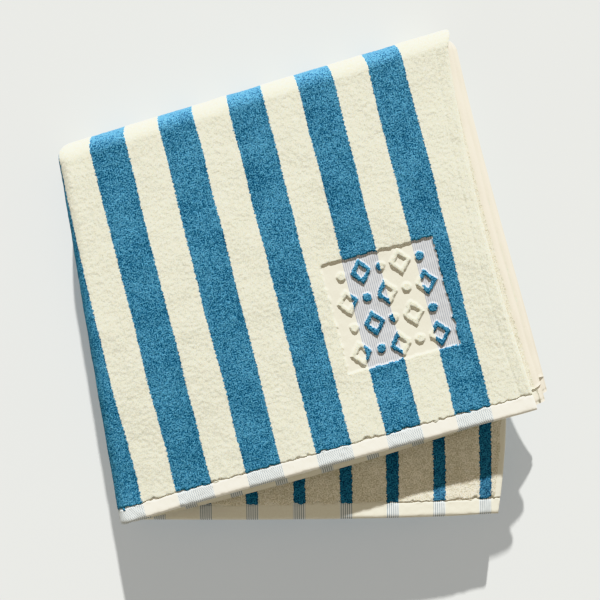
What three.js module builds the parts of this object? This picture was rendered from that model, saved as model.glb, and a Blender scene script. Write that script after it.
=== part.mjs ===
// A bath towel folded into eight layers, lying flat. Millimetres, +Z up.
// The near hems run along +X, the far fold lies toward +Y, the left fold toward -X.
// One terry cloth: a sheet folded once across its length, so that two layers lie flat,
// then turned under round the left line, then turned under round the far line.
import * as THREE from 'three';

// The cloth itself: its layer as laid, the air left between layers, and its woven end hem.
const CLOTH = { pile: 6.0, gap: 0.8, hem: 5.6, hemBand: 13, pileRise: 1.0 };

// Two layers as first folded, four after the left turn, eight after the far turn.
const PAIR = 2 * CLOTH.pile + CLOTH.gap;
const FOUR = 2 * PAIR + CLOTH.gap;
const HEIGHT = 2 * FOUR + CLOTH.gap;

// Where the turns begin, as laid. The left line slants outward on its way to the hems.
// At a turn the layers crowd together at the crest, and the far crest flares at its right end.
const FAR = { y: 160, slope: 0.034, squash: 0.78, crowding: 0.6, flare: 11 };
const LEFT = { x: -149, slant: 0.096, squash: 0.92, crowding: 1 };

// A row for each layer, from the top. Right edge: its x beside the far fold, halfway and at
// the near end. Near end: its length from the far line at the left, middle and right.
// Droop is how far the near right corner hangs down beside the turned lower layers.
// Layers 5 to 8 end in two near folds.
const LAYERS = [
  { layer: 1, rightFar: 168, rightMid: 158, rightNear: 163, left: 298, middle: 295, right: 295.5, droop: 6 },
  { layer: 2, rightFar: 173, rightMid: 168, rightNear: 173, left: 299, middle: 300, right: 292, droop: 7 },
  { layer: 3, rightFar: 178, rightMid: 176, rightNear: 181, left: 290, middle: 289, right: 288, droop: 9.6 },
  { layer: 4, rightFar: 172, rightMid: 167, rightNear: 115, left: 303, middle: 341, right: 377, droop: 0 },
  { layer: 5, rightFar: 170, rightMid: 163, rightNear: 112, left: 299, middle: 336, right: 371, droop: 0 },
  { layer: 6, rightFar: 168, rightMid: 167, rightNear: 113, left: 299, middle: 336, right: 371, droop: 0 },
  { layer: 7, rightFar: 166, rightMid: 161, rightNear: 109, left: 300, middle: 338, right: 374, droop: 0 },
  { layer: 8, rightFar: 164, rightMid: 164, rightNear: 111, left: 300, middle: 338, right: 374, droop: 0 },
];

// The corner hangs free from a little outside the fourth layer's edge, deeper as it reaches further.
const CORNER = { clear: 2, reach: 30 };

// The flat-woven square sunk in the top layer, and its wall.
const SQUARE = { left: 22.6, right: 115.6, near: 227.5, far: 137.5, wall: 1.0, depth: 1.2 };

// Soft rises and dips of the whole stack, at full height.
const MOUNDS = [
  { x: -70, y: 30, reach: 110, rise: 1.6 },
  { x: 70, y: -20, reach: 70, rise: -0.9 },
  { x: 150, y: -110, reach: 60, rise: -1.6 },
  { x: 118, y: -214, reach: 34, rise: -6.0 },
  { x: -160, y: -120, reach: 60, rise: -2.0 },
  { x: 20, y: -190, reach: 70, rise: 1.2 },
  { x: 155, y: 140, reach: 70, rise: -1.8 },
];

const TURN_STEPS = 10;
const FOLD_STEPS = 8;
const SHORTENING = 15;
const TOP_LENGTH = 295;

const mix = (from, to, part) => from + (to - from) * part;
const curve = (first, middle, last, part) => {
  const bow = 4 * part * (1 - part) * (middle - (first + last) / 2);
  return mix(first, last, part) + bow;
};
const leftLine = (y) => LEFT.x - LEFT.slant * (FAR.y - Math.min(y, FAR.y));
const steps = (count) => Array.from({ length: count + 1 }, (_, k) => (Math.PI * k) / count);

// Lengthwise stations of one run of the sheet, from its hem to the fold across its middle.
const hemRows = [0, 1.2, CLOTH.hemBand, CLOTH.hemBand + CLOTH.pileRise];
const squareRows = [SQUARE.near, SQUARE.near - SQUARE.wall, SQUARE.far + SQUARE.wall, SQUARE.far];
const runRows = (long) => [
  ...hemRows.map((end) => ({ zone: 'hem', end })),
  ...long.map((along) => ({ zone: 'near', along })),
  ...steps(TURN_STEPS).map((turn) => ({ zone: 'turn', turn })),
  ...[0.14, 0.38, 0.62, 0.84].map((part) => ({ zone: 'under', part })),
];
const firstRun = runRows([256, squareRows[0], squareRows[1], 182, squareRows[2], squareRows[3], 94, 50, 14]);
const secondRun = runRows([256, 218, 180, 138, 94, 50, 14]);
const ROWS = [
  ...firstRun.map((row) => ({ ...row, run: 1 })),
  ...steps(FOLD_STEPS).map((bend) => ({ zone: 'fold', bend, run: 0 })),
  ...secondRun.reverse().map((row) => ({ ...row, run: 2 })),
];

// Crosswise stations, from the right edge over the top, round the left line and back under.
const COLUMNS = [
  ...[0, 1.2, 3.6].map((inset) => ({ side: 'over', span: 'margin', part: 1, inset })),
  { side: 'over', span: 'margin', part: 0.5, inset: 0 },
  ...[1, 1 - SQUARE.wall / 93.2, 0.66, 0.33, SQUARE.wall / 93.2, 0].map((part) => ({
    side: 'over', span: 'square', part, inset: 0,
  })),
  ...[0.76, 0.5, 0.24, 0].map((part) => ({ side: 'over', span: 'plain', part, inset: 0 })),
  ...steps(TURN_STEPS).slice(1).map((turn) => ({ side: 'turn', turn })),
  ...[0.12, 0.3, 0.48, 0.66, 0.84].map((part) => ({ side: 'back', part, inset: 0 })),
  ...[3.6, 1.2, 0].map((inset) => ({ side: 'back', part: 1, inset })),
];

// The layers that a run passes through: over and back on the near half, then on the far half.
const PASSES = { 1: { over: [1, 8], back: [4, 5] }, 2: { over: [2, 7], back: [3, 6] } };
const layerOf = (run, side, far) => LAYERS[PASSES[run][side][far ? 1 : 0] - 1];
const rightEdge = (row, part) => curve(row.rightFar, row.rightMid, row.rightNear, part);
const nearEnd = (row, part) => curve(row.left, row.middle, row.right, part);

// A column's x in a layer at a part of its length, with y as laid there.
const SPREAD = { left: 0.57, right: 0.86 };
function columnX(column, layer, part, y) {
  const edge = rightEdge(layer, part);
  const line = leftLine(y);
  if (column.side === 'back') return mix(line, edge, column.part) - column.inset;
  const spread = layer.layer > 2 ? part : 0;
  const squareLeft = mix(SQUARE.left, mix(line, edge, SPREAD.left), spread);
  const squareRight = mix(SQUARE.right, mix(line, edge, SPREAD.right), spread);
  if (column.span === 'margin') return mix(squareRight, edge, column.part) - column.inset;
  if (column.span === 'square') return mix(squareLeft, squareRight, column.part);
  return mix(line, squareLeft, column.part);
}

// How far across its near end a column lies, from 0 at the left line to 1 at the right edge.
function acrossPart(column, layer) {
  const y = FAR.y - layer.middle;
  const line = leftLine(y);
  return (columnX(column, layer, 1, y) - line) / (layer.rightNear - line);
}

// A value of the layers that a run has at a column, blended round the left line.
function blended(column, run, far, read) {
  if (column.side !== 'turn') {
    const layer = layerOf(run, column.side, far);
    return read(layer, acrossPart(column, layer));
  }
  const over = read(layerOf(run, 'over', far), 0);
  return mix(over, read(layerOf(run, 'back', far), 0), column.turn / Math.PI);
}

// Half the cloth's thickness: thin at the hem, and rounded off at ends and side edges.
function halfThickness(row, column) {
  let half = CLOTH.pile / 2;
  if (row.zone === 'hem') {
    const thin = CLOTH.hem / 2;
    const byRow = [0.6 * thin, thin, thin, half];
    half = byRow[hemRows.indexOf(row.end)];
  }
  if (column.inset === undefined || column.part !== 1) return half;
  const rounding = { 0: 0.4, 1.2: 0.76, 3.6: 1 }[column.inset];
  return half * (column.span === 'square' ? 1 : rounding);
}

// Round a turn: how far out of the line a depth comes to lie, and its new depth.
function turned(depth, total, angle, fold) {
  const radius = total / 2 - depth;
  const bulge = fold.squash * (total / 2) * (radius / (total / 2)) ** fold.crowding;
  return { out: bulge * Math.sin(angle), depth: total / 2 - radius * Math.cos(angle) };
}

// How far the far crest flares outward near its right end.
function flare(column, x, angle) {
  if (column.span !== 'margin') return 0;
  const outward = (x - SQUARE.right) / (LAYERS[0].rightFar - SQUARE.right);
  return FAR.flare * Math.sin(angle) * outward ** 2;
}

// How far a layer hangs down where it reaches beyond the fourth layer's right edge.
function hang(layer, x, length) {
  const below = LAYERS[3];
  const free = x - rightEdge(below, Math.min(length / below.right, 1)) - CORNER.clear;
  return layer.droop * (Math.max(0, free) / CORNER.reach) ** 2;
}

function sunk(row, column, outer) {
  if (!outer || row.run !== 1 || row.zone !== 'near') return 0;
  if (column.span !== 'square' || column.part === 0 || column.part === 1) return 0;
  return row.along < SQUARE.near && row.along > SQUARE.far ? SQUARE.depth : 0;
}

// One vertex: the station on the sheet, on its outer or its inner face.
function vertex(row, column, outer) {
  const half = halfThickness(row, column);
  const far = row.zone === 'under' || row.zone === 'fold';
  const endOf = (run) => blended(column, run, far, nearEnd);
  let depth;
  let length = 0;
  let end = 0;
  if (row.zone === 'fold') {
    end = mix(endOf(1), endOf(2), row.bend / Math.PI);
    const middle = (CLOTH.pile + CLOTH.gap) / 2;
    const radius = middle + (outer ? half : -half);
    length = end - PAIR / 2 + radius * Math.sin(row.bend);
    depth = PAIR / 2 - radius * Math.cos(row.bend);
  } else {
    const middle = row.run === 1 ? CLOTH.pile / 2 : PAIR - CLOTH.pile / 2;
    const away = row.run === 1 ? -half : half;
    depth = middle + (outer ? away : -away) + sunk(row, column, outer);
    end = endOf(row.run);
    if (row.zone === 'hem') length = end - row.end;
    if (row.zone === 'near') length = (row.along * (end - SHORTENING)) / (TOP_LENGTH - SHORTENING);
    if (row.zone === 'under') length = row.part * (end - PAIR / 2);
  }
  const part = Math.min(length / end, 1);
  const y = FAR.y - length;

  // Round the left line.
  let x = 0;
  let out = 0;
  if (column.side === 'turn') {
    const bent = turned(depth, FOUR, column.turn, LEFT);
    out = -bent.out;
    depth = bent.depth;
    x = leftLine(y);
  } else {
    if (column.side === 'back') depth = FOUR - depth;
    if (row.zone === 'fold') {
      const first = columnX(column, layerOf(1, column.side, far), part, y);
      const second = columnX(column, layerOf(2, column.side, far), part, y);
      x = mix(first, second, row.bend / Math.PI);
    } else if (row.zone === 'turn') {
      const first = columnX(column, layerOf(row.run, column.side, false), 0, y);
      const second = columnX(column, layerOf(row.run, column.side, true), 0, y);
      x = mix(first, second, row.turn / Math.PI);
      if (row.run === 1) x += flare(column, x, row.turn);
    } else {
      x = columnX(column, layerOf(row.run, column.side, far), part, y);
    }
  }

  // Round the far line.
  let beyond = 0;
  if (row.zone === 'turn') {
    const bent = turned(depth, HEIGHT, row.turn, FAR);
    beyond = bent.out;
    depth = bent.depth;
  }
  if (far) depth = HEIGHT - depth;

  // Let the free corner hang, and lay the stack unevenly.
  if (!far && row.zone !== 'turn' && column.side !== 'turn') {
    depth += hang(layerOf(row.run, column.side, false), x, length);
  }
  const px = x + out;
  const py = y + beyond + FAR.slope * px * (1 - Math.min(part, 1));
  const rise = MOUNDS.reduce((sum, mound) => {
    const distance = ((px - mound.x) ** 2 + (py - mound.y) ** 2) / mound.reach ** 2;
    return sum + mound.rise * Math.exp(-distance);
  }, 0);
  return [px, py, (HEIGHT - depth) * (1 + rise / HEIGHT)];
}

function towelGeometry() {
  const points = [];
  const index = [];
  const at = { outer: [], inner: [] };
  for (const face of ['outer', 'inner']) {
    for (const row of ROWS) {
      at[face].push(COLUMNS.map((column) => {
        points.push(vertex(row, column, face === 'outer'));
        return points.length - 1;
      }));
    }
  }
  const quad = (a, b, c, d) => index.push(a, b, c, a, c, d);
  const lastRow = ROWS.length - 1;
  const lastColumn = COLUMNS.length - 1;
  const { outer, inner } = at;
  for (let r = 0; r < lastRow; r += 1) {
    for (let c = 0; c < lastColumn; c += 1) {
      quad(outer[r][c], outer[r + 1][c], outer[r + 1][c + 1], outer[r][c + 1]);
      quad(inner[r][c], inner[r][c + 1], inner[r + 1][c + 1], inner[r + 1][c]);
    }
    quad(outer[r][0], inner[r][0], inner[r + 1][0], outer[r + 1][0]);
    quad(outer[r][lastColumn], outer[r + 1][lastColumn], inner[r + 1][lastColumn], inner[r][lastColumn]);
  }
  for (let c = 0; c < lastColumn; c += 1) {
    quad(outer[0][c], outer[0][c + 1], inner[0][c + 1], inner[0][c]);
    quad(outer[lastRow][c], inner[lastRow][c], inner[lastRow][c + 1], outer[lastRow][c + 1]);
  }

  // Stand the origin under the middle of the stack.
  const box = new THREE.Box3().setFromPoints(points.map((p) => new THREE.Vector3(...p)));
  const centre = box.getCenter(new THREE.Vector3());
  const moved = points.map(([x, y, z]) => [x - centre.x, y - centre.y, z - box.min.z]);
  const geometry = new THREE.BufferGeometry();
  geometry.setAttribute('position', new THREE.Float32BufferAttribute(moved.flat(), 3));
  geometry.setIndex(index);
  geometry.computeVertexNormals();
  return geometry;
}

const terry = new THREE.MeshStandardMaterial({ color: 0xdfe3df, roughness: 0.95, metalness: 0 });
terry.name = 'cotton terry';
const towel = new THREE.Mesh(towelGeometry(), terry);
towel.name = 'towel';

const part = new THREE.Group();
part.name = 'folded_bath_towel';
part.add(towel);

export default part;
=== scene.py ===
"""A folded bath towel: striped cotton terry with woven end hems, on a plain pale floor."""

from __future__ import annotations

import logging
import math
from dataclasses import dataclass, replace
from enum import Enum, auto

import bmesh
import bpy
import numpy as np
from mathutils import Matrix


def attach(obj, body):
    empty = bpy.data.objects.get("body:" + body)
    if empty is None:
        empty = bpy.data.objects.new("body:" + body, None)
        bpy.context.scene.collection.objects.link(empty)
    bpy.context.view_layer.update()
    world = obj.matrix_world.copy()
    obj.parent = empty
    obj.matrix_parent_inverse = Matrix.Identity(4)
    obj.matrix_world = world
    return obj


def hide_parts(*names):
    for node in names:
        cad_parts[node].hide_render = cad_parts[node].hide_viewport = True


LOG = logging.getLogger("towel")
MM = 0.001
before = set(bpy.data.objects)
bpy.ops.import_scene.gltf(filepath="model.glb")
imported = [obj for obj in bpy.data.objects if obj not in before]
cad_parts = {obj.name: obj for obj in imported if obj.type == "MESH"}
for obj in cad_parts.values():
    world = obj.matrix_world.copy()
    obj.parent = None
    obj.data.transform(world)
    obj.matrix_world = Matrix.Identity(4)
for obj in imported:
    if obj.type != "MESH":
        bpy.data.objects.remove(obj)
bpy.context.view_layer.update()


class Zone(Enum):
    """Where a crosswise row of the cloth lies, from its hem to the fold across its middle."""

    HEM = auto()
    NEAR = auto()
    TURN = auto()
    UNDER = auto()
    FOLD = auto()


class Side(Enum):
    """Whether a column of the cloth lies over, on the left turn, or back under."""

    OVER = auto()
    TURN = auto()
    BACK = auto()


class Span(Enum):
    """The stretch of an upper column: left of the square, across it, or right of it."""

    PLAIN = auto()
    SQUARE = auto()
    MARGIN = auto()


class Face(Enum):
    """The two faces of the cloth: wide stripes outside, narrow stripes inside."""

    WIDE = auto()
    NARROW = auto()


@dataclass(frozen=True)
class Row:
    """One crosswise row of points: its zone, its place there, and the run of cloth it is on."""

    zone: Zone
    value: float
    run: int = 0


@dataclass(frozen=True)
class Strip:
    """A group of neighbouring columns: how far across their stretch they lie, and their insets."""

    side: Side
    span: Span
    part: np.ndarray
    inset: np.ndarray

    @classmethod
    def of(cls, side: Side, part: object, span: Span = Span.PLAIN, inset: object = 0.0) -> "Strip":
        """A strip whose insets in mm are filled out to the length of its parts."""
        parts = np.atleast_1d(np.asarray(part, float))
        return cls(side, span, parts, np.broadcast_to(np.asarray(inset, float), parts.shape))


@dataclass(frozen=True)
class Layer:
    """One layer of the stack, in mm: its right edge and its near end at three places each.

    Droop is how far the near right corner hangs down where nothing lies under it.
    """

    number: int
    right_far: float
    right_mid: float
    right_near: float
    left: float
    middle: float
    right: float
    droop: float = 0.0

    def edge(self, part: object) -> np.ndarray:
        """Where the right edge lies at a part of the layer's length."""
        return bowed(self.right_far, self.right_mid, self.right_near, part)

    def near_end(self, part: object) -> np.ndarray:
        """How far the near end lies from the far line at a part of the width."""
        return bowed(self.left, self.middle, self.right, part)


@dataclass(frozen=True)
class Bend:
    """A turn of the whole stack: how flat its crest is, and how its layers crowd together there."""

    total: float
    squash: float
    crowding: float

    def round(self, depth: object, angle: object) -> tuple[np.ndarray, np.ndarray]:
        """Round the turn: how far out of the line a depth comes to lie, and its new depth."""
        radius = self.total / 2 - depth
        bulge = self.squash * self.total / 2 * (radius * 2 / self.total) ** self.crowding
        return bulge * np.sin(angle), self.total / 2 - radius * np.cos(angle)


def mix(start: object, stop: object, part: object) -> np.ndarray:
    """Blend from start to stop."""
    return np.asarray(start + (np.asarray(stop) - start) * part)


def bowed(first: float, middle: float, last: float, part: object) -> np.ndarray:
    """A gently bowed line through three values at the parts 0, a half and 1."""
    part = np.asarray(part)
    return mix(first, last, part) + 4 * part * (1 - part) * (middle - (first + last) / 2)


LAYERS = (
    Layer(1, 168, 158, 163, 298, 295, 295.5, 6.0),
    Layer(2, 173, 168, 173, 299, 300, 292, 7.0),
    Layer(3, 178, 176, 181, 290, 289, 288, 9.6),
    Layer(4, 172, 167, 115, 303, 341, 377),
    Layer(5, 170, 163, 112, 299, 336, 371),
    Layer(6, 168, 167, 113, 299, 336, 371),
    Layer(7, 166, 161, 109, 300, 338, 374),
    Layer(8, 164, 164, 111, 300, 338, 374),
)
PASSES = {(1, Side.OVER): (1, 8), (1, Side.BACK): (4, 5), (2, Side.OVER): (2, 7), (2, Side.BACK): (3, 6)}


@dataclass(frozen=True)
class FoldedCloth:
    """The folded shape of the cloth in mm, as the frame's solid has it, and its woven coordinates.

    The sheet is folded once across its length into a pair of layers, turned under round the
    left line, and turned under round the far line.
    """

    pile: float = 6.0
    gap: float = 0.8
    hem: float = 5.6
    hem_band: float = 13.0
    far_y: float = 160.0
    far_slope: float = 0.034
    far_flare: float = 11.0
    left_x: float = -149.0
    left_slant: float = 0.096
    square_x: tuple[float, float] = (22.6, 115.6)
    square_along: tuple[float, float] = (137.5, 227.5)
    top_length: float = 295.0
    shortening: float = 15.0
    corner: tuple[float, float] = (2.0, 30.0)
    centre: tuple[float, float] = (-4.347, -15.138)
    mounds: tuple[tuple[float, float, float, float], ...] = (
        (-70, 30, 110, 1.6),
        (70, -20, 70, -0.9),
        (150, -110, 60, -1.6),
        (118, -214, 34, -6.0),
        (-160, -120, 60, -2.0),
        (20, -190, 70, 1.2),
        (155, 140, 70, -1.8),
    )
    stripe_start: float = 3.26
    stripe_slope: float = 0.014
    lower_stripes_start: float = 2.8
    lower_stripes_angle: float = math.radians(14.3)
    inner_start: float = 14.1
    inner_stretch: float = 1.018

    @property
    def pair(self) -> float:
        """Height of the sheet folded once."""
        return 2 * self.pile + self.gap

    @property
    def four(self) -> float:
        """Height after the left turn."""
        return 2 * self.pair + self.gap

    @property
    def height(self) -> float:
        """Height of the whole stack."""
        return 2 * self.four + self.gap

    @property
    def left_bend(self) -> Bend:
        """The turn round the left line."""
        return Bend(self.four, 0.92, 1.0)

    @property
    def far_bend(self) -> Bend:
        """The turn round the far line."""
        return Bend(self.height, 0.78, 0.6)

    @property
    def reach(self) -> float:
        """How far along the top layer its near rows go."""
        return self.top_length - self.shortening

    def left_line(self, y: np.ndarray) -> np.ndarray:
        """Where the left turn begins at y."""
        return self.left_x - self.left_slant * (self.far_y - np.minimum(y, self.far_y))

    def layer(self, run: int, side: Side, far: bool) -> Layer:
        """The layer that a run of the cloth makes on one side."""
        return LAYERS[PASSES[run, side][1 if far else 0] - 1]

    def column_x(self, strip: Strip, layer: Layer, part: object, y: object) -> np.ndarray:
        """The x of a strip's columns in a layer at a part of its length."""
        edge = layer.edge(part)
        line = self.left_line(y)
        if strip.side is Side.BACK:
            return mix(line, edge, strip.part) - strip.inset
        spread = part if layer.number > 2 else 0.0
        left = mix(self.square_x[0], mix(line, edge, 0.57), spread)
        right = mix(self.square_x[1], mix(line, edge, 0.86), spread)
        if strip.span is Span.MARGIN:
            return mix(right, edge, strip.part) - strip.inset
        if strip.span is Span.SQUARE:
            return mix(left, right, strip.part)
        return mix(line, left, strip.part)

    def by_side(self, strip: Strip, run: int, far: bool) -> np.ndarray:
        """The length from the far line to the near end, blended round the left turn."""
        if strip.side is Side.TURN:
            over = self.layer(run, Side.OVER, far).near_end(0.0)
            return mix(over, self.layer(run, Side.BACK, far).near_end(0.0), strip.part / math.pi)
        layer = self.layer(run, strip.side, far)
        y = self.far_y - layer.middle
        line = self.left_line(np.asarray(y))
        return layer.near_end((self.column_x(strip, layer, 1.0, y) - line) / (layer.right_near - line))

    def half_thickness(self, row: Row, strip: Strip) -> np.ndarray:
        """Half the cloth's thickness: less at the woven hems, rounded off at ends and side edges."""
        half = self.pile / 2
        if row.zone is Zone.HEM:
            thin = self.hem / 2
            places = (0.0, 0.5, 1.2, 2.2, 3.5, self.hem_band, self.hem_band + 0.8)
            shares = (0.4, 0.6, 0.78, 0.92, 1.0, 1.0, half / thin)
            half = thin * float(np.interp(row.value, places, shares))
        inset = np.where(strip.part == 1, strip.inset, 99.0)
        if strip.side is Side.TURN or strip.span is Span.SQUARE:
            inset = np.full(strip.part.shape, 99.0)
        return half * np.interp(inset, (0, 0.4, 1.2, 2.4, 3.6), (0.36, 0.6, 0.82, 0.95, 1.0))

    def hang(self, layer: Layer, x: np.ndarray, length: np.ndarray) -> np.ndarray:
        """How far a layer hangs down where it reaches beyond the fourth layer's right edge."""
        below = LAYERS[3]
        free = x - below.edge(np.minimum(length / below.right, 1)) - self.corner[0]
        return layer.droop * (np.maximum(0, free) / self.corner[1]) ** 2

    def section(self, row: Row, strip: Strip, face: Face, lift: object) -> tuple[np.ndarray, ...]:
        """Depth in the pair of layers, length from the far line, and length to the near end."""
        outer = face is Face.WIDE
        half = np.maximum(self.half_thickness(row, strip) + lift, 0.1)
        far = row.zone in (Zone.UNDER, Zone.FOLD)
        if row.zone is Zone.FOLD:
            end = mix(self.by_side(strip, 1, True), self.by_side(strip, 2, True), row.value / math.pi)
            radius = (self.pile + self.gap) / 2 + (half if outer else -half)
            length = end - self.pair / 2 + radius * math.sin(row.value)
            return self.pair / 2 - radius * math.cos(row.value), length, end
        first = row.run == 1
        middle = self.pile / 2 if first else self.pair - self.pile / 2
        depth = middle + (-half if first == outer else half)
        end = self.by_side(strip, row.run, far)
        length = {
            Zone.HEM: end - row.value,
            Zone.NEAR: row.value * (end - self.shortening) / self.reach,
            Zone.TURN: 0.0 * end,
            Zone.UNDER: row.value * (end - self.pair / 2),
        }[row.zone]
        return depth, length, end

    def laid_x(self, row: Row, strip: Strip, part: np.ndarray, y: np.ndarray) -> np.ndarray:
        """The x of a strip's columns in a row, beside the turns."""
        if row.zone is Zone.FOLD:
            one = self.column_x(strip, self.layer(1, strip.side, True), part, y)
            two = self.column_x(strip, self.layer(2, strip.side, True), part, y)
            return mix(one, two, row.value / math.pi)
        if row.zone is not Zone.TURN:
            return self.column_x(strip, self.layer(row.run, strip.side, row.zone is Zone.UNDER), part, y)
        one = self.column_x(strip, self.layer(row.run, strip.side, False), 0.0, y)
        two = self.column_x(strip, self.layer(row.run, strip.side, True), 0.0, y)
        x = mix(one, two, row.value / math.pi)
        if row.run == 1 and strip.span is Span.MARGIN:
            outward = (x - self.square_x[1]) / (LAYERS[0].right_far - self.square_x[1])
            x = x + self.far_flare * math.sin(row.value) * outward**2
        return x

    def points(self, row: Row, strip: Strip, face: Face, lift: object = 0.0) -> tuple[np.ndarray, np.ndarray]:
        """The points of a row over a strip, and the cloth's own coordinates there.

        Args:
            row: The row of points.
            strip: The columns.
            face: The face of the cloth.
            lift: How far outside its usual place the face lies, in mm.

        Returns:
            An array of points in mm in the part's frame, and one of woven coordinates in mm.
        """
        depth, length, end = self.section(row, strip, face, lift)
        part = np.minimum(length / end, 1)
        y = self.far_y - length
        line = self.left_line(y)
        bend = np.maximum(self.four / 2 - depth, 2.0) * 0.96
        if strip.side is Side.TURN:
            out, depth = self.left_bend.round(depth, strip.part)
            x, laid = line - out, line
        else:
            depth = self.four - depth if strip.side is Side.BACK else depth
            x = laid = self.laid_x(row, strip, part, y)
        arc = np.maximum(self.height / 2 - depth, 2.0) * 0.9
        beyond = 0.0
        if row.zone is Zone.TURN:
            beyond, depth = self.far_bend.round(depth, row.value)
        if row.zone in (Zone.UNDER, Zone.FOLD):
            depth = self.height - depth
        elif row.zone is not Zone.TURN and strip.side is not Side.TURN:
            depth = depth + self.hang(self.layer(row.run, strip.side, False), x, length)
        y_laid = y + beyond + self.far_slope * x * (1 - part)
        rise = sum(h * np.exp(-((x - mx) ** 2 + (y_laid - my) ** 2) / r**2) for mx, my, r, h in self.mounds)
        z = (self.height - depth) * (1 + rise / self.height)
        places = np.stack([x - self.centre[0], y_laid - self.centre[1], z], -1)
        woven = self.woven(row, strip, face, (laid, y, line), (length, end, bend, arc))
        return places, woven

    def woven(self, row: Row, strip: Strip, face: Face, place: tuple, lengths: tuple) -> np.ndarray:
        """Distance across the stripes and from the near end, as the cloth was woven."""
        x, y, line = place
        length, end, bend, arc = lengths
        start = self.stripe_start - self.stripe_slope * y
        turned_out = strip.side is Side.BACK and row.run == 1 and row.zone in (Zone.HEM, Zone.NEAR)
        if face is Face.NARROW and turned_out:
            angle = self.lower_stripes_angle
            across = x * math.cos(angle) - y * math.sin(angle) + self.lower_stripes_start
        elif face is Face.NARROW:
            across = (x + self.inner_start) * self.inner_stretch
        elif strip.side is Side.TURN:
            across = line + start - strip.part * bend
        elif strip.side is Side.BACK:
            across = line + start - math.pi * bend - (x - line)
        else:
            across = x + start
        along = end - length
        if row.zone is Zone.TURN:
            along = end + row.value * arc
        if row.zone in (Zone.UNDER, Zone.FOLD):
            along = 300 + math.pi * arc + length
        return np.stack(np.broadcast_arrays(across, along), -1)

    def surface(self, rows: list[Row], strips: list[Strip], face: Face, lifts: object = None) -> tuple:
        """Points and woven coordinates of a stretch of one face, by row and column."""
        lines = []
        for row in rows:
            made = [self.points(row, strip, face, lifts(row, strip) if lifts else 0.0) for strip in strips]
            lines.append([np.concatenate(part) for part in zip(*made)])
        return np.array([line[0] for line in lines]), np.array([line[1] for line in lines])


def linear(code: str) -> tuple[float, float, float, float]:
    """An sRGB hex colour as the linear values that a shader takes."""
    parts = [int(code[i : i + 2], 16) / 255 for i in (1, 3, 5)]
    lin = [c / 12.92 if c <= 0.04045 else ((c + 0.055) / 1.055) ** 2.4 for c in parts]
    return (lin[0], lin[1], lin[2], 1.0)


class Kind(Enum):
    """The kinds of shader node that the finishes use."""

    MATH = "ShaderNodeMath"
    MIX = "ShaderNodeMix"
    RANGE = "ShaderNodeMapRange"
    NOISE = "ShaderNodeTexNoise"
    CLAMP = "ShaderNodeClamp"
    UV = "ShaderNodeUVMap"
    SCALE = "ShaderNodeVectorMath"
    PARTS = "ShaderNodeSeparateXYZ"
    PLACE = "ShaderNodeTexCoord"
    ATTRIBUTE = "ShaderNodeAttribute"
    BUMP = "ShaderNodeBump"


def added(
    tree: bpy.types.NodeTree, kind: Kind, *inputs: object, out: object = 0, **settings: object
) -> object:
    """Add a node with its settings, values and links.

    Args:
        tree: The node tree.
        kind: The kind of node.
        inputs: Values or output sockets in the order of the node's inputs, or one dict of them.
        out: The name or number of the output wanted.
        settings: The node's own attributes.

    Returns:
        The wanted output socket of the new node.
    """
    made = tree.nodes.new(kind.value)
    for name, value in settings.items():
        setattr(made, name, value)
    named = inputs[0] if inputs and isinstance(inputs[0], dict) else dict(enumerate(inputs))
    for key, value in named.items():
        if isinstance(value, bpy.types.NodeSocket):
            tree.links.new(value, made.inputs[key])
        else:
            made.inputs[key].default_value = value
    return made.outputs[out]


@dataclass(frozen=True)
class Stripes:
    """Coloured stripes: their repeat and width in mm, and between which places they run."""

    repeat: float
    width: float
    first: float
    last: float

    def mask(self, tree: bpy.types.NodeTree, across: object, soft: float) -> object:
        """One inside the stripes and zero between them, with edges so many mm soft."""
        turns = added(tree, Kind.MATH, across, 1 / self.repeat, 0.5, operation="MULTIPLY_ADD")
        place = added(tree, Kind.MATH, turns, operation="FRACT")
        place = added(tree, Kind.MATH, place, 0.5, operation="SUBTRACT")
        away = added(tree, Kind.MATH, place, operation="ABSOLUTE")
        low, high = (self.width / 2 - soft) / self.repeat, (self.width / 2 + soft) / self.repeat
        inside = added(tree, Kind.RANGE, away, low, high, 1.0, 0.0)
        after = added(tree, Kind.MATH, across, self.first, operation="GREATER_THAN")
        before = added(tree, Kind.MATH, across, self.last, operation="LESS_THAN")
        within = added(tree, Kind.MATH, after, before, operation="MULTIPLY")
        return added(tree, Kind.MATH, inside, within, operation="MULTIPLY")


WIDE_STRIPES = Stripes(58.0, 29.4, -438.0, 145.0)
NARROW_STRIPES = Stripes(39.0, 10.2, -600.0, 170.0)


@dataclass(frozen=True)
class Finish:
    """What the finishes of the cloth share: a cotton shader, and the woven coordinates in mm."""

    name: str
    stripes: Stripes

    def start(self) -> tuple[bpy.types.Material, bpy.types.Node, object]:
        """A new material, its shader, and the woven coordinates in mm."""
        material = bpy.data.materials.new(self.name)
        material.use_nodes = True
        tree = material.node_tree
        woven = added(tree, Kind.UV, uv_map="weave")
        in_mm = added(tree, Kind.SCALE, {0: woven, 3: 1 / MM}, operation="SCALE")
        shader = tree.nodes["Principled BSDF"]
        shader.inputs["IOR"].default_value = 1.53
        shader.inputs["Specular IOR Level"].default_value = 0.2
        return material, shader, in_mm


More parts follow.
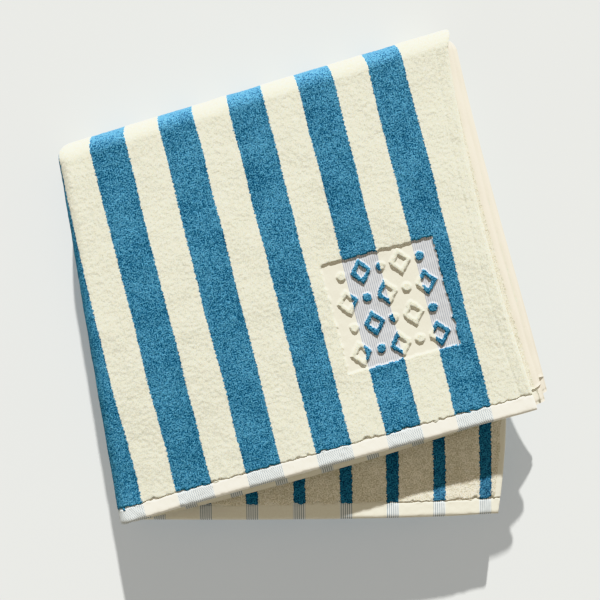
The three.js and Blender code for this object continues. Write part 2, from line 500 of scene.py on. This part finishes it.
@dataclass(frozen=True)
class TerryFinish(Finish):
    """Looped cotton terry, woven with dyed pile ends: soft matt loops with a grain of about 1 mm.

    The loops' tips get a painted highlight and the gaps between them painted shade, most of all in
    the blue, so that it is flecked. Some light goes into the pale loops and comes out beside.
    """

    blue_gap_painted_shade: str = "#113F62"
    blue_tip_painted_highlight: str = "#62A3C6"
    cream_gap_painted_shade: str = "#CED0C4"
    cream_tip_painted_highlight: str = "#E4E6DC"
    loop: float = 1.05
    patch: float = 28.0
    has_pile: bool = True

    def build(self) -> bpy.types.Material:
        """Make the material."""
        material, shader, woven = self.start()
        tree = material.node_tree
        fine = added(tree, Kind.NOISE, {"Vector": woven, "Scale": 1 / self.loop, "Detail": 2.5})
        painted_shade_and_tone = self.painted_shade_and_tone(tree, woven, fine)
        # The colour runs from the gap colour, darkened as painted shade, to the tip colour, lightened as
        # painted highlight.
        ends = {0: painted_shade_and_tone, 6: linear(self.blue_gap_painted_shade), 7: linear(self.blue_tip_painted_highlight)}
        blue = added(tree, Kind.MIX, ends, out=2, data_type="RGBA")
        ends = {0: painted_shade_and_tone, 6: linear(self.cream_gap_painted_shade), 7: linear(self.cream_tip_painted_highlight)}
        cream = added(tree, Kind.MIX, ends, out=2, data_type="RGBA")
        inside = self.ragged_stripes(tree, woven)
        colour = added(tree, Kind.MIX, {0: inside, 6: cream, 7: blue}, out=2, data_type="RGBA")
        tree.links.new(colour, shader.inputs["Base Color"])
        rough = added(tree, Kind.MATH, fine, -0.1, 1.0, operation="MULTIPLY_ADD")
        tree.links.new(rough, shader.inputs["Roughness"])
        shader.inputs["Subsurface Weight"].default_value = 0.5
        shader.inputs["Subsurface Radius"].default_value = (1.0, 0.9, 0.75)
        shader.inputs["Subsurface Scale"].default_value = 1.2 * MM
        depth = (0.14 if self.has_pile else 0.8) * MM
        bump = added(tree, Kind.BUMP, {"Height": fine, "Strength": 0.5, "Distance": depth})
        tree.links.new(bump, shader.inputs["Normal"])
        return material

    def ragged_stripes(self, tree: bpy.types.NodeTree, woven: object) -> object:
        """The stripes, with edges that the loops make ragged and a slow wander."""
        across = added(tree, Kind.PARTS, woven)
        for grain, reach in ((1.9, 3.2), (60.0, 3.0)):
            noise = added(tree, Kind.NOISE, {"Vector": woven, "Scale": 1 / grain, "Detail": 1.0})
            shift = added(tree, Kind.MATH, noise, reach, -reach / 2, operation="MULTIPLY_ADD")
            across = added(tree, Kind.MATH, across, shift, operation="ADD")
        return self.stripes.mask(tree, across, 0.3)

    def painted_shade_and_tone(self, tree: bpy.types.NodeTree, woven: object, fine: object) -> object:
        """Painted shade and highlight by the loops' height and a fine fleck, with broad random patches."""
        level = added(tree, Kind.MATH, fine, 6.0, -2.5, operation="MULTIPLY_ADD")
        # Higher loops get more painted highlight, lower ones more painted shade.
        if self.has_pile:
            height = added(tree, Kind.ATTRIBUTE, out="Fac", attribute_name="pile_height")
            level = added(tree, Kind.MATH, level, 0.6, operation="MULTIPLY")
            level = added(tree, Kind.MATH, height, 0.4, level, operation="MULTIPLY_ADD")
        broad = added(tree, Kind.NOISE, {"Vector": woven, "Scale": 1 / self.patch, "Detail": 2.0})
        broad = added(tree, Kind.MATH, broad, 0.6, -0.3, operation="MULTIPLY_ADD")
        return added(tree, Kind.CLAMP, added(tree, Kind.MATH, level, broad, operation="ADD"))


@dataclass(frozen=True)
class WovenFinish(Finish):
    """Flat-woven cotton: smoother than the loops, its dyed ends showing as thin lines.

    The threads are drawn about 1.7 mm apart, coarser than the real ones, so that they show.
    """

    thread_gap: float = 1.75
    zigzag: float = 0.0
    zigzag_repeat: float = 3.0
    rib: float = 0.9
    ground: str = "#FAFBF8"
    shade: str = "#F2F2EB"
    tinted: str = "#DFE5E8"
    line: str = "#758CA0"
    line_share: float = 0.34

    def build(self) -> bpy.types.Material:
        """Make the material."""
        material, shader, woven = self.start()
        tree = material.node_tree
        speck = added(tree, Kind.NOISE, {"Vector": woven, "Scale": 0.7, "Detail": 2.0})
        tree.links.new(self.colour(tree, woven, speck), shader.inputs["Base Color"])
        rough = added(tree, Kind.MATH, speck, -0.15, 0.92, operation="MULTIPLY_ADD")
        tree.links.new(rough, shader.inputs["Roughness"])
        along = added(tree, Kind.PARTS, woven, out=1)
        rib = added(tree, Kind.MATH, along, 2 * math.pi / self.rib, operation="MULTIPLY")
        rib = added(tree, Kind.MATH, rib, operation="SINE")
        relief = added(tree, Kind.MATH, rib, 0.2, speck, operation="MULTIPLY_ADD")
        bump = added(tree, Kind.BUMP, {"Height": relief, "Strength": 0.35, "Distance": 0.2 * MM})
        tree.links.new(bump, shader.inputs["Normal"])
        return material

    def colour(self, tree: bpy.types.NodeTree, woven: object, speck: object) -> object:
        """The pale ground, a little greyer in the stripes, with their dyed lines."""
        across, along = (added(tree, Kind.PARTS, woven, out=number) for number in (0, 1))
        wave = added(tree, Kind.MATH, along, 2 * math.pi / self.zigzag_repeat, operation="MULTIPLY")
        wave = added(tree, Kind.MATH, wave, operation="SINE")
        place = added(tree, Kind.MATH, wave, self.zigzag, across, operation="MULTIPLY_ADD")
        comb = added(tree, Kind.MATH, place, 2 * math.pi / self.thread_gap, operation="MULTIPLY")
        comb = added(tree, Kind.MATH, comb, operation="COSINE")
        thin = added(tree, Kind.RANGE, comb, 1 - 2 * self.line_share, 1.0, 0.0, 0.85)
        inside = self.stripes.mask(tree, across, 0.25)
        lines = added(tree, Kind.MATH, thin, inside, operation="MULTIPLY")
        ground = {0: speck, 6: linear(self.shade), 7: linear(self.ground)}
        ground = added(tree, Kind.MIX, ground, out=2, data_type="RGBA")
        pale = added(tree, Kind.MIX, {0: inside, 6: ground, 7: linear(self.tinted)}, out=2, data_type="RGBA")
        return added(tree, Kind.MIX, {0: lines, 6: pale, 7: linear(self.line)}, out=2, data_type="RGBA")


@dataclass(frozen=True)
class FloorFinish:
    """Painted board: even, matt and pale, with a trace of roller grain.

    It gives off a little light of its own, so that the shadow on it stays pale and neutral.
    """

    name: str = "pale painted board"
    low: str = "#C6C7C6"
    high: str = "#CACBCA"
    glow: str = "#6F7982"

    def build(self) -> bpy.types.Material:
        """Make the material."""
        material = bpy.data.materials.new(self.name)
        material.use_nodes = True
        tree = material.node_tree
        shader = tree.nodes["Principled BSDF"]
        place = added(tree, Kind.PLACE, out="Object")
        grain = added(tree, Kind.NOISE, {"Vector": place, "Scale": 6.0})
        ends = {0: grain, 6: linear(self.low), 7: linear(self.high)}
        colour = added(tree, Kind.MIX, ends, out=2, data_type="RGBA")
        tree.links.new(colour, shader.inputs["Base Color"])
        shader.inputs["Roughness"].default_value = 0.9
        shader.inputs["Emission Color"].default_value = linear(self.glow)
        shader.inputs["Emission Strength"].default_value = 1.0
        shader.inputs["Specular IOR Level"].default_value = 0.1
        return material


@dataclass(frozen=True)
class Wardrobe:
    """The finishes of the cloth: looped on both faces, flat-woven at square, end and side hems."""

    wide: bpy.types.Material
    narrow: bpy.types.Material
    wide_far: bpy.types.Material
    narrow_far: bpy.types.Material
    wide_woven: bpy.types.Material
    narrow_woven: bpy.types.Material
    square: bpy.types.Material
    side_hem: bpy.types.Material

    @classmethod
    def make(cls) -> "Wardrobe":
        """Make every finish of the cloth."""
        return cls(
            TerryFinish("cotton terry, wide stripes", WIDE_STRIPES).build(),
            # The same yarns as the wide face: its gap and tip colours, with their painted shade and
            # highlight, were matched to this face where it lies in shade.
            TerryFinish(
                "cotton terry, narrow stripes",
                NARROW_STRIPES,
                blue_gap_painted_shade="#253C5C",
                blue_tip_painted_highlight="#5A96BB",
                cream_gap_painted_shade="#C3C1B1",
                cream_tip_painted_highlight="#EFEDE3",
            ).build(),
            TerryFinish("cotton terry inside, wide stripes", WIDE_STRIPES, has_pile=False).build(),
            TerryFinish("cotton terry inside, narrow stripes", NARROW_STRIPES, has_pile=False).build(),
            WovenFinish("flat-woven cotton, wide stripes", WIDE_STRIPES, zigzag=0.5).build(),
            WovenFinish(
                "flat-woven cotton, narrow stripes",
                NARROW_STRIPES,
                ground="#ECEEE5",
                shade="#E4E2D7",
                line="#4C6A80",
                line_share=0.42,
            ).build(),
            WovenFinish(
                "flat-woven cotton of the square",
                WIDE_STRIPES,
                ground="#E6E6DE",
                shade="#DADACF",
                tinted="#C9CDD3",
                line="#8A93A6",
            ).build(),
            WovenFinish("flat-woven side hem", WIDE_STRIPES, ground="#EAE7DE", shade="#DFDACF").build(),
        )


def smoothed(values: np.ndarray, times: int) -> np.ndarray:
    """Values blurred over their neighbours, times over, and evened to a mean of 0 and a spread of 1."""
    for _ in range(times):
        for axis in (0, 1):
            padded = np.pad(values, [(1, 1) if a == axis else (0, 0) for a in (0, 1)], mode="edge")
            first = padded[:-2] if axis == 0 else padded[:, :-2]
            last = padded[2:] if axis == 0 else padded[:, 2:]
            values = 0.25 * first + 0.5 * values + 0.25 * last
    return (values - values.mean()) / (values.std() + 1e-9)


def dressed(data: bpy.types.Mesh, materials: list[bpy.types.Material]) -> bpy.types.Object:
    """An object for a mesh, smooth all over, with its materials."""
    data.polygons.foreach_set("use_smooth", np.ones(len(data.polygons), bool))
    for material in materials:
        data.materials.append(material)
    made = bpy.data.objects.new(data.name, data)
    bpy.context.scene.collection.objects.link(made)
    return made


def corner_vertices(data: bpy.types.Mesh) -> np.ndarray:
    """The vertex of each face corner of a mesh."""
    found = np.empty(len(data.loops), np.int32)
    data.loops.foreach_get("vertex_index", found)
    return found


def set_uv(data: bpy.types.Mesh, name: str, values: np.ndarray) -> None:
    """Give a mesh a UV map with a pair for each face corner."""
    data.uv_layers.new(name=name).data.foreach_set("uv", values.astype(np.float32).ravel())


@dataclass
class Sheet:
    """The whole cloth as one closed body, coarser than the pile that lies over what shows."""

    cloth: FoldedCloth
    wardrobe: Wardrobe
    step: float = 5.2
    sunk: float = 0.9

    def run(self, number: int) -> list[Row]:
        """The rows of one run of the cloth, from its hem to the fold across its middle."""
        band = self.cloth.hem_band
        hem = [0.0, 0.5, 1.2, 2.2, 3.5, 8.0, band, band + 0.8]
        near = np.arange(self.cloth.reach, 2.0, -self.step)
        low, high = self.cloth.square_along
        near = [v for v in near if abs(v - low) > 1.8 and abs(v - high) > 1.8]
        near = sorted([*near, low - 0.4, low + 0.6, high - 0.6, high + 0.4], reverse=True)
        rows = [Row(Zone.HEM, v, number) for v in hem]
        rows += [Row(Zone.NEAR, v, number) for v in near]
        rows += [Row(Zone.TURN, v, number) for v in np.linspace(0, math.pi, 27)]
        rows += [Row(Zone.UNDER, v, number) for v in np.linspace(0, 1, 46)[1:-1]]
        return rows

    def rows(self) -> list[Row]:
        """Every row of the sheet, from one hem to the other."""
        fold = [Row(Zone.FOLD, v) for v in np.linspace(0, math.pi, 15)]
        return self.run(1) + fold + self.run(2)[::-1]

    def strips(self) -> list[Strip]:
        """Every column of the sheet, from the right edge over and back."""
        insets = np.array([0.0, 0.4, 1.2, 2.4, 3.6, 6.0])
        square = np.concatenate([[1.0, 0.994, 0.984], np.linspace(0.94, 0.06, 14), [0.016, 0.006, 0.0]])
        return [
            Strip.of(Side.OVER, np.ones(6), Span.MARGIN, insets),
            Strip.of(Side.OVER, np.linspace(0.8, 0.1, 7), Span.MARGIN),
            Strip.of(Side.OVER, square, Span.SQUARE),
            Strip.of(Side.OVER, np.linspace(0.97, 0, 30)),
            Strip.of(Side.TURN, np.linspace(0, math.pi, 21)[1:]),
            Strip.of(Side.BACK, np.linspace(0.02, 0.97, 46)),
            Strip.of(Side.BACK, np.ones(6), Span.PLAIN, insets[::-1]),
        ]

    def lift(self, row: Row, strip: Strip, face: Face) -> np.ndarray:
        """How far a face lies below its usual place, to leave room for pile and square."""
        none = np.zeros(strip.part.shape)
        if row.zone in (Zone.UNDER, Zone.FOLD):
            covered = strip.side is Side.TURN and row.run != 2 or row.zone is Zone.FOLD
            return none - self.sunk if covered and face is Face.WIDE else none
        back = strip.side is Side.BACK
        upper = Face.NARROW if back == (row.run == 1) else Face.WIDE
        if face is not upper or (row.run == 2 and strip.side is Side.TURN):
            return none
        low, high = self.cloth.square_along
        top = strip.span is Span.SQUARE and row.run == 1 and row.zone is Zone.NEAR
        if top and low < row.value < high:
            return np.where((strip.part > 0.003) & (strip.part < 0.997), -1.9, -self.sunk)
        return none - self.sunk

    def build(self) -> bpy.types.Object:
        """Make the sheet: a flat slab of the cloth, carried point by point into the fold.

        Returns:
            The closed sheet.
        """
        rows, strips = self.rows(), self.strips()
        faces = [
            self.cloth.surface(rows, strips, face, lambda row, strip, face=face: self.lift(row, strip, face))
            for face in (Face.WIDE, Face.NARROW)
        ]
        count, width = faces[0][0].shape[:2]
        slab = bmesh.new()
        bmesh.ops.create_grid(slab, x_segments=width - 1, y_segments=count - 1, size=0.5)
        bmesh.ops.translate(slab, verts=slab.verts, vec=(0.5, 0.5, 0.0))
        bmesh.ops.scale(slab, verts=slab.verts, vec=(width - 1, count - 1, 1.0))
        raised = bmesh.ops.extrude_face_region(slab, geom=slab.faces[:], use_keep_orig=True)
        upper = [item for item in raised["geom"] if isinstance(item, bmesh.types.BMVert)]
        bmesh.ops.translate(slab, verts=upper, vec=(0.0, 0.0, 1.0))
        bmesh.ops.recalc_face_normals(slab, faces=slab.faces[:])
        data = bpy.data.meshes.new("towel_cloth")
        slab.to_mesh(data)
        slab.free()
        flat = np.empty(len(data.vertices) * 3)
        data.vertices.foreach_get("co", flat)
        column, line, level = np.rint(flat.reshape(-1, 3)).astype(int).T
        places = np.stack([face[0] for face in faces])[level, line, column]
        data.vertices.foreach_set("co", (places * MM).ravel())
        at = corner_vertices(data)
        corners = [values[at].reshape(-1, 4) for values in (column, line, level)]
        woven = np.stack([face[1] for face in faces])
        self.dress(data, rows, corners, woven, width)
        wardrobe = self.wardrobe
        finishes = [wardrobe.wide_far, wardrobe.narrow_far, wardrobe.wide_woven, wardrobe.narrow_woven]
        return dressed(data, finishes)

    def dress(
        self, data: bpy.types.Mesh, rows: list[Row], corners: list, woven: np.ndarray, width: int
    ) -> None:
        """Give the sheet its two UV maps, and each face the finish of its side of the cloth.

        Args:
            data: The sheet's mesh.
            rows: The rows of the sheet.
            corners: Column, row and level of the corners of each face.
            woven: The woven coordinates by level, row and column.
            width: How many columns there are.
        """
        column, line, level = corners
        rim = level.min(axis=1) != level.max(axis=1)
        own = np.where(rim[:, None], 0, level)
        set_uv(data, "weave", woven[own, line, column] * MM)
        count = len(rows)
        across, along = column / (width - 1), line / (count - 1)
        chart = np.stack([across, 0.47 * along + 0.48 * level], -1)
        edges = (column.max(1) == 0, column.min(1) == width - 1, line.max(1) == 0, line.min(1) == count - 1)
        for number, (edge, run) in enumerate(zip(edges, (along, along, across, across))):
            band = np.stack([run, 0.96 + 0.01 * number + 0.006 * level], -1)
            chart = np.where((edge & rim)[:, None, None], band, chart)
        set_uv(data, "OFBake", 0.004 + 0.99 * chart)
        band = self.cloth.hem_band + 0.1
        flat_row = np.array([row.zone is Zone.HEM and row.value <= band for row in rows])
        slot = own.max(axis=1) + 2 * flat_row[line].all(axis=1)
        data.polygons.foreach_set("material_index", slot.astype(np.int32))


@dataclass(frozen=True)
class Lattice:
    """The raised figure of the woven square: hollow lozenges and dots in turn, all whole."""

    side_x: float = 93.0
    side_y: float = 90.0
    first: tuple[float, float] = (14.0, 13.0)
    pitch: tuple[float, float] = (16.25, 21.33)
    columns: int = 5
    rows: int = 4
    lozenge: tuple[float, float] = (8.6, 10.2)
    dot: float = 3.7

    def raised(self, across: np.ndarray, along: np.ndarray) -> np.ndarray:
        """One on the lozenges and dots, zero on the flat ground, by the place in the square in mm."""
        column = np.clip(np.rint((across - self.first[0]) / self.pitch[0]), 0, self.columns - 1)
        row = np.clip(np.rint((along - self.first[1]) / self.pitch[1]), 0, self.rows - 1)
        u = np.abs(across - self.first[0] - column * self.pitch[0])
        v = np.abs(along - self.first[1] - row * self.pitch[1])
        ring = (0.27 - np.abs(u / self.lozenge[0] + v / self.lozenge[1] - 0.8)) * 9 + 0.5
        dot = (self.dot - np.hypot(u, v)) / 0.8 + 0.5
        return np.clip(np.where((column + row) % 2 == 0, ring, dot), 0, 1)


@dataclass
class PilePatch:
    """A stretch of looped pile as a fine surface over the cloth, each loop a small rise."""

    name: str
    cloth: FoldedCloth
    face: Face
    rows: list[Row]
    strips: list[Strip]
    materials: list[bpy.types.Material]
    seed: int
    pieces: int = 1
    loft: float = 0.22
    loop_rise: float = 0.045
    clump_rise: float = 0.03
    swell: float = 0.12
    swell_passes: int = 220
    ground_depth: float = 0.95
    trench: float = 0.7
    trench_width: float = 0.65
    seam_inset: float = 11.0
    seam_depth: float = 0.0
    side_hem: float = 0.0
    tucked: float = 1.0
    lattice: Lattice = Lattice()

    def build(self) -> list[bpy.types.Object]:
        """Make the patch.

        Returns:
            Its pieces, each with its pile height as an attribute and its woven coordinates.
        """
        places, woven = self.cloth.surface(self.rows, self.strips, self.face)
        normal = np.cross(np.gradient(places, axis=0), np.gradient(places, axis=1))
        normal *= -1 if self.face is Face.NARROW else 1
        normal /= np.linalg.norm(normal, axis=2, keepdims=True) + 1e-9
        height, pile, flat = self.relief(places, woven)
        places = places + normal * height[..., None]
        places[..., 2] = np.maximum(places[..., 2], 0.02)
        cuts = np.linspace(0, len(self.rows) - 1, self.pieces + 1).astype(int)
        made = []
        for number, (first, last) in enumerate(zip(cuts[:-1], cuts[1:])):
            name = self.name if self.pieces == 1 else f"{self.name}_{number + 1}"
            span = slice(first, last + 1)
            made.append(self.mesh(name, places[span], woven[span], pile[span], flat[span]))
        return made

    def relief(self, places: np.ndarray, woven: np.ndarray) -> tuple[np.ndarray, np.ndarray, np.ndarray]:
        """The pile's relief in mm, its height from 0 to 1 for the finish, and where cloth is flat."""
        rng = np.random.default_rng(self.seed)
        size = places.shape[:2]
        loops, teeth, clumps, swell = (
            smoothed(rng.standard_normal(size), times) for times in (1, 4, 9, self.swell_passes)
        )
        along = woven[..., 1]
        band = self.cloth.hem_band
        near = along < 40
        hem = np.where(near, np.clip(band + 0.3 + 0.55 * teeth - along, 0, 0.5) * 2, 0.0)
        square = self.square(places, woven, teeth) if self.face is Face.WIDE else np.zeros(size)
        inset = places[..., 0].max(axis=1, keepdims=True) - places[..., 0]
        side = np.clip((self.side_hem - inset + 0.3 * teeth) * 2, 0, 1) if self.side_hem else np.zeros(size)
        flat = np.maximum(np.maximum(hem, square), side)
        pile = self.loft + self.loop_rise * loops + self.clump_rise * clumps
        height = pile * (1 - flat) + hem * (0.05 + 0.05 * teeth)
        height += square * (-self.ground_depth + 0.03 * clumps)
        from_line = (along - band - 0.5 * teeth) / self.trench_width
        height -= near * self.trench * (1 + 0.35 * teeth) * np.exp(-(from_line**2))
        height -= self.seam_depth * np.exp(-(((inset - self.seam_inset) / 1.0) ** 2)) * (1 - hem)
        height += self.swell * swell * (1 - hem)
        for edge in ((0, slice(None)), (-1, slice(None)), (slice(None), 0), (slice(None), -1)):
            height[edge] = -self.tucked
        # The height from 0 to 1 sets the painted shade and painted highlight of the loops.
        return height, np.clip(0.5 + 0.3 * loops, 0, 1), flat

    def square(self, places: np.ndarray, woven: np.ndarray, teeth: np.ndarray) -> np.ndarray:
        """One on the bare ground of the woven square, and zero on pile."""
        near = self.cloth.far_y - self.cloth.square_along[1]
        along = places[..., 1] + self.cloth.centre[1] - near
        across = places[..., 0] + self.cloth.centre[0] - self.cloth.square_x[0]
        far_side = np.minimum(self.lattice.side_x - across, self.lattice.side_y - along)
        inside = np.clip((np.minimum(np.minimum(across, along), far_side) + 0.4 * teeth) / 0.7, 0, 1)
        ground = inside * (1 - self.lattice.raised(across + 0.35 * teeth, along))
        on_top = (woven[..., 1] < 200) * (places[..., 2] > 40)
        return ground * on_top

    def mesh(
        self, name: str, places: np.ndarray, woven: np.ndarray, pile: np.ndarray, flat: np.ndarray
    ) -> bpy.types.Object:
        """One piece's mesh: a flat grid carried point by point to its places."""
        count, width = places.shape[:2]
        grid = bmesh.new()
        bmesh.ops.create_grid(grid, x_segments=width - 1, y_segments=count - 1, size=1.0)
        data = bpy.data.meshes.new(name)
        grid.to_mesh(data)
        grid.free()
        data.vertices.foreach_set("co", (places * MM).ravel())
        at = corner_vertices(data)
        set_uv(data, "weave", woven.reshape(-1, 2)[at] * MM)
        row, column = np.divmod(at, width)
        set_uv(data, "OFBake", 0.004 + 0.992 * np.stack([column / (width - 1), row / (count - 1)], -1))
        # Pile height for the finish, which paints shade in the gaps and highlight on the tips.
        level = data.attributes.new("pile_height", "FLOAT", "POINT")
        level.data.foreach_set("value", pile.astype(np.float32).ravel())
        bare = flat.ravel()[at].reshape(-1, 4).mean(axis=1) > 0.5
        slot = bare.astype(np.int32)
        if len(self.materials) > 2:
            slot *= 1 + (woven[..., 1].ravel()[at].reshape(-1, 4).mean(axis=1) > 40)
        data.polygons.foreach_set("material_index", slot.astype(np.int32))
        if self.face is Face.WIDE:
            data.flip_normals()
        return dressed(data, self.materials)


@dataclass
class Towel:
    """The folded towel: its closed sheet, and the pile and hems over every side that shows."""

    cloth: FoldedCloth
    step: float = 0.75
    side_hem: float = 5.5
    seam_depth: float = 0.25
    edge_insets: tuple[float, ...] = (0.1, 0.5, 1.0, 1.6, 2.3, 3.0)

    def count(self, length: float) -> int:
        """How many stations fit along a length in mm."""
        return int(length / self.step)

    def hem(self, run: int) -> list[Row]:
        """Fine rows over the hem band and the first of the pile."""
        band = self.cloth.hem_band
        last = self.cloth.shortening - 0.1
        places = [*np.arange(0.2, band - 2, 0.9), *np.arange(band - 2, last, 0.4)]
        return [Row(Zone.HEM, v, run) for v in places]

    def near(self, start: float, stop: float, run: int) -> list[Row]:
        """Fine rows of the near half, by their distance along the top layer."""
        return [Row(Zone.NEAR, v, run) for v in np.linspace(start, stop, self.count(abs(start - stop)))]

    def top_strips(self) -> list[Strip]:
        """Fine columns from the right edge over the top layer and round its left turn."""
        left, right = self.cloth.square_x
        margin = np.linspace(0.93, 0.0, self.count(right - left) // 2)
        return [
            Strip.of(Side.OVER, np.ones(6), Span.MARGIN, self.edge_insets),
            Strip.of(Side.OVER, margin[:-1], Span.MARGIN),
            Strip.of(Side.OVER, np.linspace(1, 0, self.count(right - left)), Span.SQUARE),
            Strip.of(Side.OVER, np.linspace(1, 0, self.count(185))[1:]),
            Strip.of(Side.TURN, np.linspace(0, 3.0, 52)[1:]),
        ]

    def top(self, wardrobe: Wardrobe) -> list[bpy.types.Object]:
        """The top layer with its hem, its left turn and the whole far turn."""
        turn = [Row(Zone.TURN, v, 1) for v in np.linspace(0, 3.0, 96)[1:]]
        rows = self.hem(1) + self.near(self.cloth.reach, 0.0, 1)[1:] + turn
        materials = [wardrobe.wide, wardrobe.wide_woven, wardrobe.square]
        patch = PilePatch("towel_pile_top", self.cloth, Face.WIDE, rows, self.top_strips(), materials, 11)
        return replace(patch, pieces=3, seam_depth=self.seam_depth).build()

    def lower(self, wardrobe: Wardrobe) -> list[bpy.types.Object]:
        """The turned lower layer, as far as it shows beyond the upper hems."""
        rows = self.hem(1) + self.near(self.cloth.reach, 165.0, 1)[1:]
        edge = Strip.of(Side.BACK, np.ones(6), Span.PLAIN, self.edge_insets[::-1])
        strips = [Strip.of(Side.BACK, np.linspace(0.0, 0.985, self.count(270))), edge]
        materials = [wardrobe.narrow, wardrobe.narrow_woven]
        patch = PilePatch("towel_pile_lower", self.cloth, Face.NARROW, rows, strips, materials, 13)
        return replace(patch, side_hem=self.side_hem).build()

    def base(self, wardrobe: Wardrobe) -> list[bpy.types.Object]:
        """The left side of the lower stack, and the folded near ends under the lower hem."""
        materials = [wardrobe.wide, wardrobe.wide_woven]
        turn = Strip.of(Side.TURN, np.linspace(0.1, 3.04, 52))
        rows = [Row(Zone.UNDER, v, 1) for v in np.linspace(0.0, 0.995, self.count(330))]
        left = PilePatch("towel_pile_left", self.cloth, Face.WIDE, rows, [turn], materials, 14)
        folds = [Row(Zone.FOLD, v) for v in np.linspace(0.05, 3.09, 27)]
        strips = [
            Strip.of(Side.OVER, np.linspace(0.97, 0.0, 44), Span.MARGIN),
            Strip.of(Side.OVER, np.linspace(1, 0, 110)[1:], Span.SQUARE),
            Strip.of(Side.OVER, np.linspace(1, 0, 210)[1:]),
            Strip.of(Side.TURN, np.linspace(0, math.pi, 52)[1:]),
            Strip.of(Side.BACK, np.linspace(0, 0.98, 350)[1:]),
        ]
        front = PilePatch("towel_pile_front", self.cloth, Face.WIDE, folds, strips, materials, 15)
        return left.build() + front.build()

    def edges(self, wardrobe: Wardrobe) -> list[bpy.types.Object]:
        """The second layer's hem, and the right edges of the second and third layers."""
        insets = [*self.edge_insets, *np.arange(3.8, 20.0, self.step)]
        turn = [Row(Zone.TURN, v, 2) for v in np.linspace(0, 1.6, 40)[1:]]
        rows = self.hem(2) + self.near(self.cloth.reach, 0.0, 2)[1:] + turn
        second = Strip.of(Side.OVER, np.ones(len(insets)), Span.MARGIN, insets)
        third = Strip.of(Side.BACK, np.ones(len(insets)), Span.PLAIN, insets[::-1])
        narrow, wide = [wardrobe.narrow, wardrobe.side_hem], [wardrobe.wide, wardrobe.side_hem]
        end_hem = [wardrobe.narrow, wardrobe.narrow_woven]
        hem = self.hem(2)[:-4]
        under = self.top_strips()[1:4]
        edged = [
            PilePatch("towel_edge_second", self.cloth, Face.NARROW, rows, [second], narrow, 16),
            PilePatch("towel_edge_third", self.cloth, Face.WIDE, rows, [third], wide, 17),
        ]
        patches = [replace(patch, side_hem=self.side_hem) for patch in edged]
        patches.append(PilePatch("towel_hem_second", self.cloth, Face.NARROW, hem, under, end_hem, 18))
        return [piece for patch in patches for piece in patch.build()]

    def build(self) -> list[bpy.types.Object]:
        """Build the towel.

        Returns:
            Its pieces, the closed sheet first.
        """
        wardrobe = Wardrobe.make()
        sheet = Sheet(self.cloth, wardrobe).build()
        parts = (self.top, self.lower, self.base, self.edges)
        return [sheet, *(piece for part in parts for piece in part(wardrobe))]


@dataclass(frozen=True)
class Setting:
    """The plain pale floor, the soft light with a low sun, and the camera above the towel."""

    centre: tuple[float, float]
    height: float = 0.55
    roll: float = 15.0
    focal: float = 37.2
    sun_height: float = 20.7
    sun_bearing: float = 73.5
    sun_strength: float = 7.5
    sun_angle: float = 1.2
    sun_colour: str = "#FFFEFA"
    sky_strength: float = 0.43
    sky_colour: str = "#FFF1DA"

    def build(self) -> None:
        """Make the floor, the lights and the camera."""
        grid = bmesh.new()
        bmesh.ops.create_grid(grid, x_segments=1, y_segments=1, size=3.0)
        bmesh.ops.translate(grid, verts=grid.verts, vec=(0, 0, -0.1 * MM))
        data = bpy.data.meshes.new("floor")
        grid.to_mesh(data)
        grid.free()
        dressed(data, [FloorFinish().build()])
        self.lights()
        self.camera()

    def lights(self) -> None:
        """A soft even sky, and one low sun from beyond the far fold."""
        world = bpy.data.worlds.new("soft sky")
        world.use_nodes = True
        background = world.node_tree.nodes["Background"]
        background.inputs[0].default_value = linear(self.sky_colour)
        background.inputs[1].default_value = self.sky_strength
        bpy.context.scene.world = world
        data = bpy.data.lights.new("low sun", "SUN")
        data.energy = self.sun_strength
        data.angle = math.radians(self.sun_angle)
        data.color = linear(self.sun_colour)[:3]
        lamp = bpy.data.objects.new("low sun", data)
        lamp.rotation_euler = (0, math.radians(90 - self.sun_height), math.radians(self.sun_bearing))
        bpy.context.scene.collection.objects.link(lamp)

    def camera(self) -> None:
        """A camera straight above, rolled as the photograph is."""
        data = bpy.data.cameras.new("camera above")
        data.lens = self.focal
        data.sensor_width = 36.0
        made = bpy.data.objects.new("camera above", data)
        made.location = (-self.centre[0] * MM, -self.centre[1] * MM, self.height)
        made.rotation_euler = (0, 0, -math.radians(self.roll))
        bpy.context.scene.collection.objects.link(made)
        bpy.context.scene.camera = made
        bpy.context.scene.view_settings.view_transform = "Khronos PBR Neutral"


def main() -> None:
    """Build the towel and its setting on the frame, and log how many faces each piece has."""
    cloth = FoldedCloth()
    pieces = Towel(cloth).build()
    for piece in pieces:
        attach(piece, "root")
        LOG.info("%s: %d faces", piece.name, len(piece.data.polygons))
    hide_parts("towel")
    Setting(cloth.centre).build()


if __name__ == "__main__":
    logging.basicConfig(level=logging.INFO)
    main()
